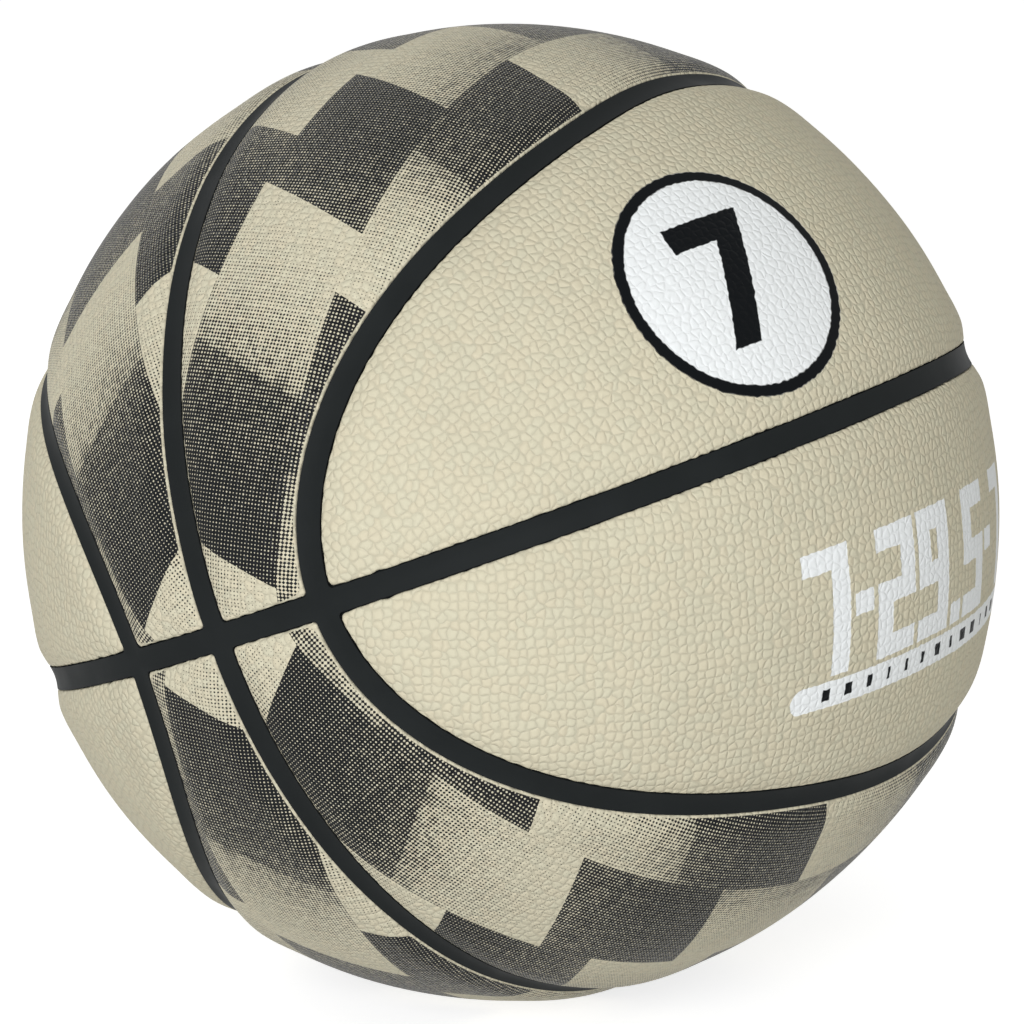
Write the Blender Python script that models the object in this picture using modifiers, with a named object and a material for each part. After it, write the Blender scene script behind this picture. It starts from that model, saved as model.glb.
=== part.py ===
"""A slack eight-panel basketball, lying on the small flat that a soft ball takes.

Metres, +Z up. The origin is the middle of the flat underside. The ball is built up as it
is made: an air bladder with its valve, a wound thread layer, a black rubber carcass whose
ribs show as the channels, and eight cover panels laid in the pockets between the ribs.

The channels follow one seam net, worked out about the ball's centre in a frame of its own:
a ring in the plane x = 0, a ring in the plane z = 0, and a waisted loop round each end of x.
"""

import math

import bmesh
import bpy
from mathutils import Euler, Vector
from mathutils.geometry import delaunay_2d_cdt

# Ball and how it lies
BALL_RADIUS = 0.1195
BALL_TURN = (math.radians(-175.9), math.radians(-21.1), math.radians(-35.1))
REST_FLAT_RADIUS = 0.020

# Seam net: angle between the end of x and the loop round it
LOOP_ANGLE = math.radians(58.2)
LOOP_WAIST = math.radians(15.2)
LOOP_SQUARENESS = math.radians(2.5)

# Channels
CHANNEL_WIDTH = 0.0063
CHANNEL_DEPTH = 0.0012
PANEL_EDGE_DEPTH = 0.0010
SHOULDER_REACH = 0.0085
SHOULDER_RISE = 0.0003

# Layers, from outside in
PANEL_THICKNESS = 0.0022
GLUE_LINE = 0.0003
CARCASS_WALL = 0.0014
WINDING_WALL = 0.0007
BLADDER_WALL = 0.0009
LAYER_GAP = 0.0003

# Valve, on the side away from the print
VALVE_ANGLE = math.radians(-24.0)
VALVE_NECK_RADIUS = 0.0046
VALVE_FLANGE_RADIUS = 0.0110
VALVE_FLANGE_THICKNESS = 0.0016
VALVE_BELOW_SKIN = 0.0004
VALVE_TAIL = 0.0060
PLUG_HEAD_RADIUS = 0.0034
PLUG_HEAD_THICKNESS = 0.0014
PLUG_STEM_RADIUS = 0.0022
NEEDLE_HOLE_RADIUS = 0.0008
VALVE_FIT = 0.0003

# Slack swellings of the cover: azimuth, elevation, height and reach
SWELLINGS = (
    (math.radians(-12), math.radians(-23), 0.0009, math.radians(26)),
    (math.radians(194), math.radians(-27), 0.0005, math.radians(22)),
    (math.radians(6), math.radians(56), 0.0004, math.radians(18)),
    (math.radians(178), math.radians(42), 0.00045, math.radians(20)),
)

# Fineness of the meshes
CELL = 0.020
LOOP_STEPS = 21
RING_STEPS = 20
END_STEPS = 2
FLAT_STEPS = 24
TURNED_STEPS = 24
SPHERE_SUBDIVISIONS = 4

# Worked out from the sizes above
TURN = Euler(BALL_TURN).to_matrix()
REST_HEIGHT = math.sqrt(BALL_RADIUS**2 - REST_FLAT_RADIUS**2)
PANEL_EDGE = CHANNEL_WIDTH / 2
RIB_EDGE = PANEL_EDGE - GLUE_LINE
POCKET_DEPTH = PANEL_THICKNESS + GLUE_LINE
CARCASS_INSIDE = POCKET_DEPTH + CARCASS_WALL
WINDING_OUTSIDE = CARCASS_INSIDE + LAYER_GAP
BLADDER_OUTSIDE = WINDING_OUTSIDE + WINDING_WALL + LAYER_GAP
BLADDER_INSIDE = BLADDER_OUTSIDE + BLADDER_WALL
SIDES = ((1, 1), (1, -1), (-1, 1), (-1, -1))
AROUND_CROSSING = ((1, 1), (1, -1), (-1, -1), (-1, 1))
SIDE_NAMES = {1: "right", -1: "left"}
LEVEL_NAMES = {1: "lower", -1: "upper"}
VALVE_PANEL = ("plain", -1, -1)


# Seam net on a unit ball
def loop_angle(azimuth):
    """Angle from the end of x to its loop."""
    waist = LOOP_WAIST * math.cos(2 * azimuth)
    squareness = LOOP_SQUARENESS * math.cos(4 * azimuth)
    return LOOP_ANGLE + waist + squareness


def loop_point(azimuth):
    """Point of the loop's middle line."""
    angle = loop_angle(azimuth)
    ring = math.sin(angle)
    return Vector((math.cos(angle), ring * math.cos(azimuth), ring * math.sin(azimuth)))


def beside_loop(azimuth, inwards):
    """Point at a distance beside the loop, towards the end of x if it is positive."""
    step = 1e-4
    here = loop_point(azimuth)
    along = (loop_point(azimuth + step) - loop_point(azimuth - step)).normalized()
    across = here.cross(along)
    reach = inwards / BALL_RADIUS
    return here * math.cos(reach) + across * math.sin(reach)


def beside_level_ring(longitude, reach):
    """Point at the angle reach above the ring in the plane z = 0."""
    flat = math.cos(reach)
    return Vector((flat * math.cos(longitude), flat * math.sin(longitude), math.sin(reach)))


def beside_upright_ring(angle, reach):
    """Point at the angle reach beside the ring in the plane x = 0."""
    flat = math.cos(reach)
    return Vector((math.sin(reach), flat * math.cos(angle), flat * math.sin(angle)))


def loop_corner(inwards):
    """Azimuth at which the line beside the loop meets the line beside the level ring."""
    height = math.sin(abs(inwards) / BALL_RADIUS)
    low, high = 0.0, math.radians(60)
    for _ in range(50):
        middle = (low + high) / 2
        if beside_loop(middle, inwards).z < height:
            low = middle
        else:
            high = middle
    return (low + high) / 2


def run(place, start, stop, steps):
    """Points from start up to, but without, stop."""
    return [place(start + (stop - start) * i / steps) for i in range(steps)]


def plain_outline(inset):
    """Outline of the plain panel inside the loop, as two sides."""
    reach = inset / BALL_RADIUS
    corner = loop_corner(inset)
    start = beside_loop(corner, inset)
    longitude = math.atan2(start.y, start.x)
    loop = run(lambda a: beside_loop(a, inset), corner, math.pi - corner, LOOP_STEPS)
    ring = run(lambda a: beside_level_ring(a, reach), -longitude, longitude, RING_STEPS)
    return loop, ring


def printed_outline(inset):
    """Outline of the printed panel between the loop and the upright ring, as four sides."""
    reach = inset / BALL_RADIUS
    corner = loop_corner(-inset)
    start = beside_loop(corner, -inset)
    longitude = math.atan2(start.y, start.x)
    ring_corner = math.asin(math.tan(reach))
    end = beside_upright_ring(ring_corner, reach)
    ring_longitude = math.atan2(end.y, end.x)
    loop = run(lambda a: beside_loop(a, -inset), corner, math.pi - corner, LOOP_STEPS)
    far = run(lambda a: beside_level_ring(a, reach), -longitude, -ring_longitude, END_STEPS)
    ring = run(
        lambda a: beside_upright_ring(a, reach),
        math.pi - ring_corner,
        ring_corner,
        RING_STEPS,
    )
    near = run(lambda a: beside_level_ring(a, reach), ring_longitude, longitude, END_STEPS)
    return loop, far, ring, near


OUTLINES = {"plain": plain_outline, "printed": printed_outline}
MIDDLE_ANGLES = {"plain": math.radians(28), "printed": math.radians(63)}


def joined(sides):
    """One outline from its sides."""
    return [point for side in sides for point in side]


def to_seam_distance(point):
    """Least angle from a point of the first panel pair to a seam."""
    nearest = max(point.dot(loop_point(math.radians(a))) for a in range(181))
    return min(math.acos(min(nearest, 1)), math.asin(abs(point.x)), math.asin(abs(point.z)))


def panel_kind(point):
    """Which of the first panel pair a point lies on."""
    azimuth = math.atan2(point.z, point.y)
    return "plain" if math.acos(point.x) < loop_angle(azimuth) else "printed"


def spread_points(kind):
    """Evenly spread points of one panel, clear of its shoulder."""
    points = []
    clear = (SHOULDER_REACH + 0.45 * CELL) / BALL_RADIUS
    rings = round(math.pi * BALL_RADIUS / CELL)
    for i in range(1, rings):
        angle = math.pi * i / rings
        count = max(6, round(2 * math.pi * math.sin(angle) * BALL_RADIUS / CELL))
        for j in range(count):
            azimuth = 2 * math.pi * (j + 0.5 * (i % 2)) / count
            ring = math.sin(angle)
            point = Vector((math.cos(angle), ring * math.cos(azimuth), ring * math.sin(azimuth)))
            inside = point.x > 0 and point.z > 0 and panel_kind(point) == kind
            if inside and to_seam_distance(point) > clear:
                points.append(point)
    return points


def rest_points(down):
    """Middle and rim of the flat that the ball rests on."""
    across = down.orthogonal().normalized()
    other = down.cross(across)
    reach = math.asin(REST_FLAT_RADIUS / BALL_RADIUS)
    points = [down.copy()]
    for share, count in ((0.5, FLAT_STEPS // 2), (1.0, FLAT_STEPS)):
        for i in range(count):
            angle = 2 * math.pi * i / count
            sideways = across * math.cos(angle) + other * math.sin(angle)
            points.append(down * math.cos(share * reach) + sideways * math.sin(share * reach))
    return points


def with_rest_flat(points, kind, side, level):
    """Swaps the spread points round the rest flat for the flat's own, on the lowest panel."""
    down = TURN.transposed() @ Vector((0, 0, -1))
    down = Vector((down.x * side, down.y, down.z * level))
    if down.x <= 0 or down.z <= 0 or panel_kind(down) != kind:
        return points
    clear = math.asin(REST_FLAT_RADIUS / BALL_RADIUS) + 0.5 * CELL / BALL_RADIUS
    margin = (SHOULDER_REACH + 0.1 * CELL) / BALL_RADIUS
    flat = [p for p in rest_points(down) if p.x > 0 and p.z > 0 and to_seam_distance(p) > margin]
    return [p for p in points if p.angle(down) > clear] + flat


def flattened(points, middle):
    """Stereographic view of points about the middle, which keeps their nearness."""
    across = middle.orthogonal().normalized()
    other = middle.cross(across)
    view = []
    for point in points:
        scale = 2 / (1 + point.dot(middle))
        view.append(Vector((point.dot(across) * scale, point.dot(other) * scale)))
    return view


def panel_net(kind, side, level):
    """Points inside a panel's rim, and faces that number the rim first and then them."""
    rim = joined(OUTLINES[kind](PANEL_EDGE))
    shoulder = joined(OUTLINES[kind](SHOULDER_REACH))
    spread = with_rest_flat(spread_points(kind), kind, side, level)
    points = rim + shoulder + spread
    count = len(rim)
    loops = [list(range(count)), list(range(count, 2 * count))]
    edges = [(loop[i - 1], loop[i]) for loop in loops for i in range(count)]
    angle = MIDDLE_ANGLES[kind]
    view = flattened(points, Vector((math.cos(angle), 0, math.sin(angle))))
    found = delaunay_2d_cdt(view, edges, [loops[0]], 1, 1e-7)
    source = [numbers[0] for numbers in found[3]]
    faces = [[source[corner] for corner in face] for face in found[2]]
    return shoulder, spread, faces


# Slack shape
def swelling(direction):
    """Height of the slack swellings over a direction."""
    height = 0.0
    for azimuth, elevation, rise, reach in SWELLINGS:
        flat = math.cos(elevation)
        top = Vector((flat * math.cos(azimuth), flat * math.sin(azimuth), math.sin(elevation)))
        share = min(direction.angle(top) / reach, 1)
        height += rise * (0.5 + 0.5 * math.cos(math.pi * share))
    return height


def settled(point):
    """A point of the round ball, about its centre, once the ball is slack and lies down."""
    direction = point.normalized()
    depth = BALL_RADIUS - point.length
    place = direction * (point.length + swelling(direction))
    place.z = max(place.z, max(depth, 0) - REST_HEIGHT)
    return place


def settle(mesh):
    """Gives every corner of a mesh its slack place."""
    for vert in mesh.verts:
        vert.co = settled(vert.co)


def laid(direction, side, level, depth):
    """A direction of the first panel pair, mirrored to its panel and turned as the ball lies."""
    mirrored = Vector((direction.x * side, direction.y, direction.z * level))
    return (TURN @ mirrored) * (BALL_RADIUS - depth)


# Scene
def clear_scene():
    """Removes whatever the file opened with."""
    for item in list(bpy.data.objects):
        bpy.data.objects.remove(item, do_unlink=True)


def new_collection(name):
    """An empty collection in the scene."""
    collection = bpy.data.collections.new(name)
    bpy.context.scene.collection.children.link(collection)
    return collection


def new_material(name, colour, roughness):
    """A plain material of one colour."""
    material = bpy.data.materials.new(name)
    material.use_nodes = True
    shader = material.node_tree.nodes["Principled BSDF"]
    shader.inputs["Base Color"].default_value = (*colour, 1)
    shader.inputs["Roughness"].default_value = roughness
    shader.inputs["Metallic"].default_value = 0
    return material


def add_object(name, mesh, material, collection, parent):
    """Makes an object of a bmesh about the ball's centre, on its parent."""
    data = bpy.data.meshes.new(name)
    mesh.to_mesh(data)
    mesh.free()
    data.materials.append(material)
    data.shade_smooth()
    data.set_sharp_from_angle(angle=math.radians(30))
    item = bpy.data.objects.new(name, data)
    item.parent = parent
    collection.objects.link(item)
    return item


def cut(item, cutter):
    """Takes a cutter's shape out of an object."""
    bore = item.modifiers.new("bore", "BOOLEAN")
    bore.operation = "DIFFERENCE"
    bore.solver = "EXACT"
    bore.object = cutter


# Cover panels
def panel_depth(number, rim_count):
    """Depth of a panel's outer skin: its edge dips, and its shoulder stands a little proud."""
    if number < rim_count:
        return PANEL_EDGE_DEPTH
    if number < 2 * rim_count:
        return -SHOULDER_RISE
    return 0.0


def panel_mesh(kind, side, level, net):
    """Skin of one panel, drawn down to an even underside."""
    shoulder, spread, faces = net
    rim = joined(OUTLINES[kind](PANEL_EDGE))
    mesh = bmesh.new()
    points = rim + shoulder + spread
    for number, point in enumerate(points):
        mesh.verts.new(laid(point, side, level, panel_depth(number, len(rim))))
    mesh.verts.ensure_lookup_table()
    skin = [mesh.faces.new([mesh.verts[i] for i in face]) for face in faces]
    drawn = bmesh.ops.extrude_face_region(mesh, geom=skin, use_keep_orig=True)
    for part in drawn["geom"]:
        if isinstance(part, bmesh.types.BMVert):
            part.co = part.co.normalized() * (BALL_RADIUS - PANEL_THICKNESS)
    settle(mesh)
    return mesh


# Carcass
def pocket_floor(mesh, kind, side, level, net):
    """Floor and wall of one pocket. Returns the wall's top rim."""
    shoulder, spread, faces = net
    rim = joined(OUTLINES[kind](RIB_EDGE))
    points = rim + shoulder + spread
    verts = [mesh.verts.new(laid(point, side, level, POCKET_DEPTH)) for point in points]
    for face in faces:
        mesh.faces.new([verts[i] for i in face])
    foot = verts[: len(rim)]
    top = [mesh.verts.new(laid(point, side, level, CHANNEL_DEPTH)) for point in rim]
    for i in range(len(rim)):
        mesh.faces.new((foot[i - 1], foot[i], top[i], top[i - 1]))
    return top


def strip(mesh, first, second):
    """Rib top between two rims that run side by side."""
    for i in range(1, len(first)):
        mesh.faces.new((first[i - 1], first[i], second[i], second[i - 1]))


def rib_tops(mesh, tops):
    """Joins the pockets' rims across the ribs, and closes the six crossings."""
    loop = LOOP_STEPS
    ring = loop + END_STEPS
    near = ring + RING_STEPS
    around = near + END_STEPS
    for side in (1, -1):
        for level in (1, -1):
            plain = tops["plain", side, level]
            printed = tops["printed", side, level]
            strip(mesh, plain[: loop + 1], printed[: loop + 1])
        upper = tops["plain", side, -1]
        lower = tops["plain", side, 1]
        strip(mesh, upper[loop:] + upper[:1], lower[loop:] + lower[:1])
        upper = tops["printed", side, -1]
        lower = tops["printed", side, 1]
        strip(mesh, upper[loop : ring + 1], lower[loop : ring + 1])
        strip(mesh, upper[near:around] + upper[:1], lower[near:around] + lower[:1])
        for corner in (0, loop):
            around_loop = (("plain", -1), ("plain", 1), ("printed", 1), ("printed", -1))
            mesh.faces.new([tops[kind, side, level][corner] for kind, level in around_loop])
    for level in (1, -1):
        right = tops["printed", 1, level][ring : near + 1]
        left = tops["printed", -1, level][ring : near + 1]
        strip(mesh, right, left)
    for corner in (ring, near):
        mesh.faces.new([tops["printed", side, level][corner] for side, level in AROUND_CROSSING])


def sphere_mesh(depth):
    """A ball of even facets at a depth under the skin."""
    mesh = bmesh.new()
    radius = BALL_RADIUS - depth
    bmesh.ops.create_icosphere(mesh, subdivisions=SPHERE_SUBDIVISIONS, radius=radius)
    return mesh


def carcass_mesh(nets):
    """Ribbed outside from the eight pockets, and a plain inside."""
    mesh = bmesh.new()
    tops = {}
    for kind in OUTLINES:
        for side, level in SIDES:
            net = nets[kind, side, level]
            tops[kind, side, level] = pocket_floor(mesh, kind, side, level, net)
    rib_tops(mesh, tops)
    bmesh.ops.recalc_face_normals(mesh, faces=mesh.faces)
    hollow = sphere_mesh(CARCASS_INSIDE)
    bmesh.ops.reverse_faces(hollow, faces=hollow.faces)
    inside = bpy.data.meshes.new("carcass_inside")
    hollow.to_mesh(inside)
    hollow.free()
    mesh.from_mesh(inside)
    bpy.data.meshes.remove(inside)
    settle(mesh)
    return mesh


# Thread winding and bladder
def add_shell(name, depth, wall, material, collection, parent):
    """A closed bag at a depth under the skin, with an even wall."""
    mesh = sphere_mesh(depth)
    settle(mesh)
    bag = add_object(name, mesh, material, collection, parent)
    shell = bag.modifiers.new("wall", "SOLIDIFY")
    shell.thickness = wall
    shell.offset = -1
    shell.use_even_offset = True
    return bag


# Valve
def add_turned(name, profile, material, collection, parent):
    """Turns a closed profile of radius and height, whose outer side runs downwards."""
    data = bpy.data.meshes.new(name)
    corners = [(radius, 0, height) for radius, height in profile]
    count = len(corners)
    data.from_pydata(corners, [(i, (i + 1) % count) for i in range(count)], [])
    data.materials.append(material)
    item = bpy.data.objects.new(name, data)
    item.parent = parent
    collection.objects.link(item)
    turn = item.modifiers.new("turned", "SCREW")
    turn.steps = TURNED_STEPS
    turn.render_steps = TURNED_STEPS
    turn.use_merge_vertices = True
    turn.merge_threshold = 0.00001
    turn.use_smooth_shade = False
    return item


def place_valve(item):
    """Sets a piece on the valve's axis, with its zero height at the ball's skin."""
    angle = VALVE_ANGLE
    axis = TURN @ Vector((-math.cos(angle), 0, math.sin(angle)))
    item.location = axis * (BALL_RADIUS + swelling(axis))
    item.rotation_euler = axis.to_track_quat("Z", "Y").to_euler()


def seat_height(radius):
    """Height under which a valve part clears the bladder's faceted inside."""
    inside = BALL_RADIUS - BLADDER_INSIDE
    facet = 1.2 / 2 ** (SPHERE_SUBDIVISIONS - 1)
    dip = inside * facet**2 / 6
    return math.sqrt(inside**2 - radius**2) - BALL_RADIUS - dip - LAYER_GAP


def add_valve_housing(material, collection, parent):
    """Rubber boss with a neck up to the skin and a flange inside the bladder."""
    top = -VALVE_BELOW_SKIN
    head_seat = top - PLUG_HEAD_THICKNESS - VALVE_FIT
    head_bore = PLUG_HEAD_RADIUS + VALVE_FIT
    stem_bore = PLUG_STEM_RADIUS + VALVE_FIT
    flange_top = seat_height(VALVE_NECK_RADIUS)
    flange_edge = seat_height(VALVE_FLANGE_RADIUS)
    flange_under = flange_edge - VALVE_FLANGE_THICKNESS
    tail = flange_under - VALVE_TAIL
    profile = (
        (head_bore, top),
        (VALVE_NECK_RADIUS, top),
        (VALVE_NECK_RADIUS, flange_top),
        (VALVE_FLANGE_RADIUS, flange_edge),
        (VALVE_FLANGE_RADIUS, flange_under),
        (VALVE_NECK_RADIUS, flange_under),
        (VALVE_NECK_RADIUS, tail),
        (stem_bore, tail),
        (stem_bore, head_seat),
        (head_bore, head_seat),
    )
    place_valve(add_turned("valve_housing", profile, material, collection, parent))


def add_valve_plug(material, collection, parent):
    """Soft plug that a needle is pushed through."""
    top = -VALVE_BELOW_SKIN
    head_under = top - PLUG_HEAD_THICKNESS
    tail = seat_height(VALVE_FLANGE_RADIUS) - VALVE_FLANGE_THICKNESS - VALVE_TAIL
    profile = (
        (NEEDLE_HOLE_RADIUS, top),
        (PLUG_HEAD_RADIUS, top),
        (PLUG_HEAD_RADIUS, head_under),
        (PLUG_STEM_RADIUS, head_under),
        (PLUG_STEM_RADIUS, tail),
        (NEEDLE_HOLE_RADIUS, tail),
    )
    place_valve(add_turned("valve_plug", profile, material, collection, parent))


def add_valve_bore(collection, parent):
    """Cutter for the valve's way through the layers, not shown."""
    bpy.ops.mesh.primitive_cylinder_add(
        vertices=TURNED_STEPS,
        radius=VALVE_NECK_RADIUS + VALVE_FIT,
        depth=4 * (BLADDER_INSIDE + LAYER_GAP),
    )
    bore = bpy.context.active_object
    bore.name = "valve_bore"
    for home in list(bore.users_collection):
        home.objects.unlink(bore)
    collection.objects.link(bore)
    bore.parent = parent
    bore.hide_render = True
    bore.display_type = "WIRE"
    place_valve(bore)
    return bore


def build():
    """Builds the ball's pieces in their collection."""
    clear_scene()
    ball = new_collection("slack_basketball")
    cutters = new_collection("cutters")
    centre = bpy.data.objects.new("ball_centre", None)
    centre.location = (0, 0, REST_HEIGHT)
    ball.objects.link(centre)
    cover = {
        "plain": new_material("tan_cover", (0.67, 0.62, 0.46), 0.55),
        "printed": new_material("printed_cover", (0.03, 0.03, 0.03), 0.5),
    }
    black = new_material("black_rubber", (0.02, 0.024, 0.026), 0.6)
    thread = new_material("nylon_thread", (0.7, 0.68, 0.62), 0.7)
    butyl = new_material("butyl_rubber", (0.03, 0.03, 0.032), 0.45)
    soft = new_material("soft_plug_rubber", (0.08, 0.07, 0.06), 0.5)
    bore = add_valve_bore(cutters, centre)
    nets = {}
    for kind in OUTLINES:
        for side, level in SIDES:
            net = panel_net(kind, side, level)
            nets[kind, side, level] = net
            name = f"{kind}_panel_{SIDE_NAMES[side]}_{LEVEL_NAMES[level]}"
            mesh = panel_mesh(kind, side, level, net)
            bmesh.ops.recalc_face_normals(mesh, faces=mesh.faces)
            panel = add_object(name, mesh, cover[kind], ball, centre)
            if (kind, side, level) == VALVE_PANEL:
                cut(panel, bore)
    cut(add_object("carcass", carcass_mesh(nets), black, ball, centre), bore)
    cut(add_shell("thread_winding", WINDING_OUTSIDE, WINDING_WALL, thread, ball, centre), bore)
    cut(add_shell("bladder", BLADDER_OUTSIDE, BLADDER_WALL, butyl, ball, centre), bore)
    add_valve_housing(black, ball, centre)
    add_valve_plug(soft, ball, centre)


build()
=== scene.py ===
"""Looks of a slack eight-panel basketball: pebbled tan panels, halftone printed panels,
black rubber channels, the valve at the back, and a plain studio round it."""
import math

import bmesh
import bpy
import numpy as np
from mathutils import Euler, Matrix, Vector
from mathutils.geometry import delaunay_2d_cdt


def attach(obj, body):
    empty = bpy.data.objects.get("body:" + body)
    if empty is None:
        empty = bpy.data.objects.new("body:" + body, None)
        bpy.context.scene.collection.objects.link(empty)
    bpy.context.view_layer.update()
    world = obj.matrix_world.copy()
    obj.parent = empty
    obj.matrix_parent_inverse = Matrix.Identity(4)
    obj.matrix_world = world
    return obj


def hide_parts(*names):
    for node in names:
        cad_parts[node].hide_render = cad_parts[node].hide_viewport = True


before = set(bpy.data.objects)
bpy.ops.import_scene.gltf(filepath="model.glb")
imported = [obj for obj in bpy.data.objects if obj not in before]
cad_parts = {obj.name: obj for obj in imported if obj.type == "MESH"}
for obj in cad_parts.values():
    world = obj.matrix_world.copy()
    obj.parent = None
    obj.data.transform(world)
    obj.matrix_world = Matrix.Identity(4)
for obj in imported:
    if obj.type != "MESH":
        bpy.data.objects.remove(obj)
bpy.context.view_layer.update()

# The bladder and its winding: a ball of butyl rubber that holds the air, wound all over with
# nylon thread dipped in latex, which keeps it round. Both are hidden in the finished ball.
THREAD_PITCH = 0.0009
THREAD_DEPTH = 0.0003
THREAD_COLOUR = (0.70, 0.68, 0.62)
LATEX_STAIN = (0.52, 0.46, 0.34)
THREAD_SHADOW = (0.20, 0.18, 0.14)
WINDING_LEANS = ((0.0, 0.3, 0.2), (1.1, 0.0, 0.9), (0.5, 1.3, -0.6))
RUBBER_GLOSS = 0.04
RUBBER_GRAIN_DEPTH = 0.00005


def add(tree, kind, **settings):
    """A shader node with its settings, and with values and links for its inputs."""
    item = tree.nodes.new(kind)
    links = settings.pop("links", {})
    values = settings.pop("values", {})
    for name, value in settings.items():
        setattr(item, name, value)
    for name, value in values.items():
        item.inputs[name].default_value = value
    for name, socket in links.items():
        tree.links.new(socket, item.inputs[name])
    return item


def maths(tree, operation, *terms, clamp=False):
    """One sum of sockets and numbers."""
    item = tree.nodes.new("ShaderNodeMath")
    item.operation = operation
    item.use_clamp = clamp
    for place, term in enumerate(terms):
        if isinstance(term, (int, float)):
            item.inputs[place].default_value = term
        else:
            tree.links.new(term, item.inputs[place])
    return item.outputs[0]


def ramp(tree, value, low, high, to_low=0.0, to_high=1.0):
    """A smooth step of a value, from low to high."""
    item = add(
        tree,
        "ShaderNodeMapRange",
        interpolation_type="SMOOTHSTEP",
        links={"Value": value},
        values={"From Min": low, "From Max": high, "To Min": to_low, "To Max": to_high},
    )
    return item.outputs[0]


def mixed(tree, share, first, second):
    """Colour between two colours, each a socket or three numbers."""
    item = tree.nodes.new("ShaderNodeMix")
    item.data_type = "RGBA"
    for place, term in ((0, share), (6, first), (7, second)):
        if isinstance(term, bpy.types.NodeSocket):
            tree.links.new(term, item.inputs[place])
        elif place:
            item.inputs[place].default_value = (*term, 1)
        else:
            item.inputs[place].default_value = term
    return item.outputs[2]


def new_material(name):
    """A material with a bare Principled shader, and its tree."""
    material = bpy.data.materials.new(name)
    material.use_nodes = True
    return material, material.node_tree, material.node_tree.nodes["Principled BSDF"]


def rubber_material(name, colour, roughness):
    """Matt black rubber with a faint grain and a dusty bloom."""
    material, tree, shader = new_material(name)
    shader.inputs["Specular IOR Level"].default_value = RUBBER_GLOSS
    place = add(tree, "ShaderNodeTexCoord").outputs["Object"]
    bloom = add(
        tree, "ShaderNodeTexNoise", links={"Vector": place}, values={"Scale": 60, "Detail": 4}
    ).outputs[0]
    grain = add(
        tree, "ShaderNodeTexNoise", links={"Vector": place}, values={"Scale": 1800, "Detail": 2}
    ).outputs[0]
    dusty = tuple(1.12 * part + 0.0008 for part in colour)
    bloomed = mixed(tree, ramp(tree, bloom, 0.4, 0.7), colour, dusty)
    tree.links.new(bloomed, shader.inputs["Base Color"])
    rough = ramp(tree, bloom, 0.3, 0.7, roughness - 0.05, roughness + 0.06)
    tree.links.new(rough, shader.inputs["Roughness"])
    bump = add(
        tree,
        "ShaderNodeBump",
        links={"Height": grain},
        values={"Strength": 0.25, "Distance": RUBBER_GRAIN_DEPTH},
    )
    tree.links.new(bump.outputs[0], shader.inputs["Normal"])
    return material


def wound_thread():
    """Pale thread in crossing turns, here and there stained by the latex."""
    material, tree, shader = new_material("thread")
    place = add(tree, "ShaderNodeTexCoord").outputs["Object"]
    turns = [
        add(
            tree,
            "ShaderNodeTexWave",
            links={
                "Vector": add(
                    tree, "ShaderNodeMapping", links={"Vector": place}, values={"Rotation": lean}
                ).outputs[0]
            },
            values={"Scale": 0.1 * math.pi / THREAD_PITCH, "Distortion": 0.6, "Detail": 1},
        ).outputs["Fac"]
        for lean in WINDING_LEANS
    ]
    patch = add(
        tree, "ShaderNodeTexNoise", links={"Vector": place}, values={"Scale": 45, "Detail": 2}
    ).outputs[0]
    lower = maths(tree, "MULTIPLY", turns[1], ramp(tree, patch, 0.40, 0.44))
    top = maths(tree, "MULTIPLY", turns[2], ramp(tree, patch, 0.52, 0.56))
    height = maths(tree, "MAXIMUM", turns[0], maths(tree, "MAXIMUM", lower, top))
    soaked = mixed(tree, ramp(tree, patch, 0.45, 0.75), THREAD_COLOUR, LATEX_STAIN)
    colour = mixed(tree, ramp(tree, height, 0.15, 0.6), THREAD_SHADOW, soaked)
    tree.links.new(colour, shader.inputs["Base Color"])
    tree.links.new(ramp(tree, patch, 0.4, 0.7, 0.75, 0.5), shader.inputs["Roughness"])
    relief = add(
        tree,
        "ShaderNodeBump",
        links={"Height": height},
        values={"Strength": 0.8, "Distance": THREAD_DEPTH},
    )
    tree.links.new(relief.outputs[0], shader.inputs["Normal"])
    return material


for node, finish in (
    ("bladder", rubber_material("bladder_rubber", (0.030, 0.030, 0.032), 0.45)),
    ("thread_winding", wound_thread()),
):
    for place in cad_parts[node].material_slots:
        place.material = finish


# The carcass: black rubber moulded over the wound bladder. Its ribs stand up between the
# panels and show as the channels: a level ring, an upright ring, and a waisted loop at each
# end of x. The ball is slack, so the whole skin swells a little here and there.
BALL_RADIUS = 0.1195
BALL_TURN = (math.radians(-175.9), math.radians(-21.1), math.radians(-35.1))
REST_FLAT_RADIUS = 0.020
LOOP_ANGLE = math.radians(58.2)
LOOP_WAIST = math.radians(15.2)
LOOP_SQUARENESS = math.radians(2.5)
CHANNEL_WIDTH = 0.0063
CHANNEL_DEPTH = 0.0014
VALLEY_REACH = 0.0085
VALLEY_BLEND = 0.0012
SHOULDER_RISE = 0.0003
SHOULDER_AT = 0.0100
SHOULDER_SPREAD = 0.0050
JOINT_GAP = 0.0003
CORNER_RADIUS = 0.0012
POCKET_DEPTH = 0.0025
CARCASS_INSIDE = 0.0039
WAVE_HEIGHT = 0.00006
WAVE_LENGTH = 0.032
SWELLINGS = (
    (math.radians(-12), math.radians(-23), 0.0009, math.radians(26)),
    (math.radians(194), math.radians(-27), 0.0005, math.radians(22)),
    (math.radians(6), math.radians(56), 0.0004, math.radians(18)),
    (math.radians(178), math.radians(42), 0.00045, math.radians(20)),
)
CORNER_STEPS = 6
VALVE_ANGLE = math.radians(-24)
VALVE_NECK_RADIUS = 0.0046
VALVE_FIT = 0.0003
TURNED_STEPS = 64
RIB_STEP = 0.0016
FLOOR_STEP = 0.008
FLOOR_CLEARANCE = 0.004
TURN = np.array(Euler(BALL_TURN).to_matrix())
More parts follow.
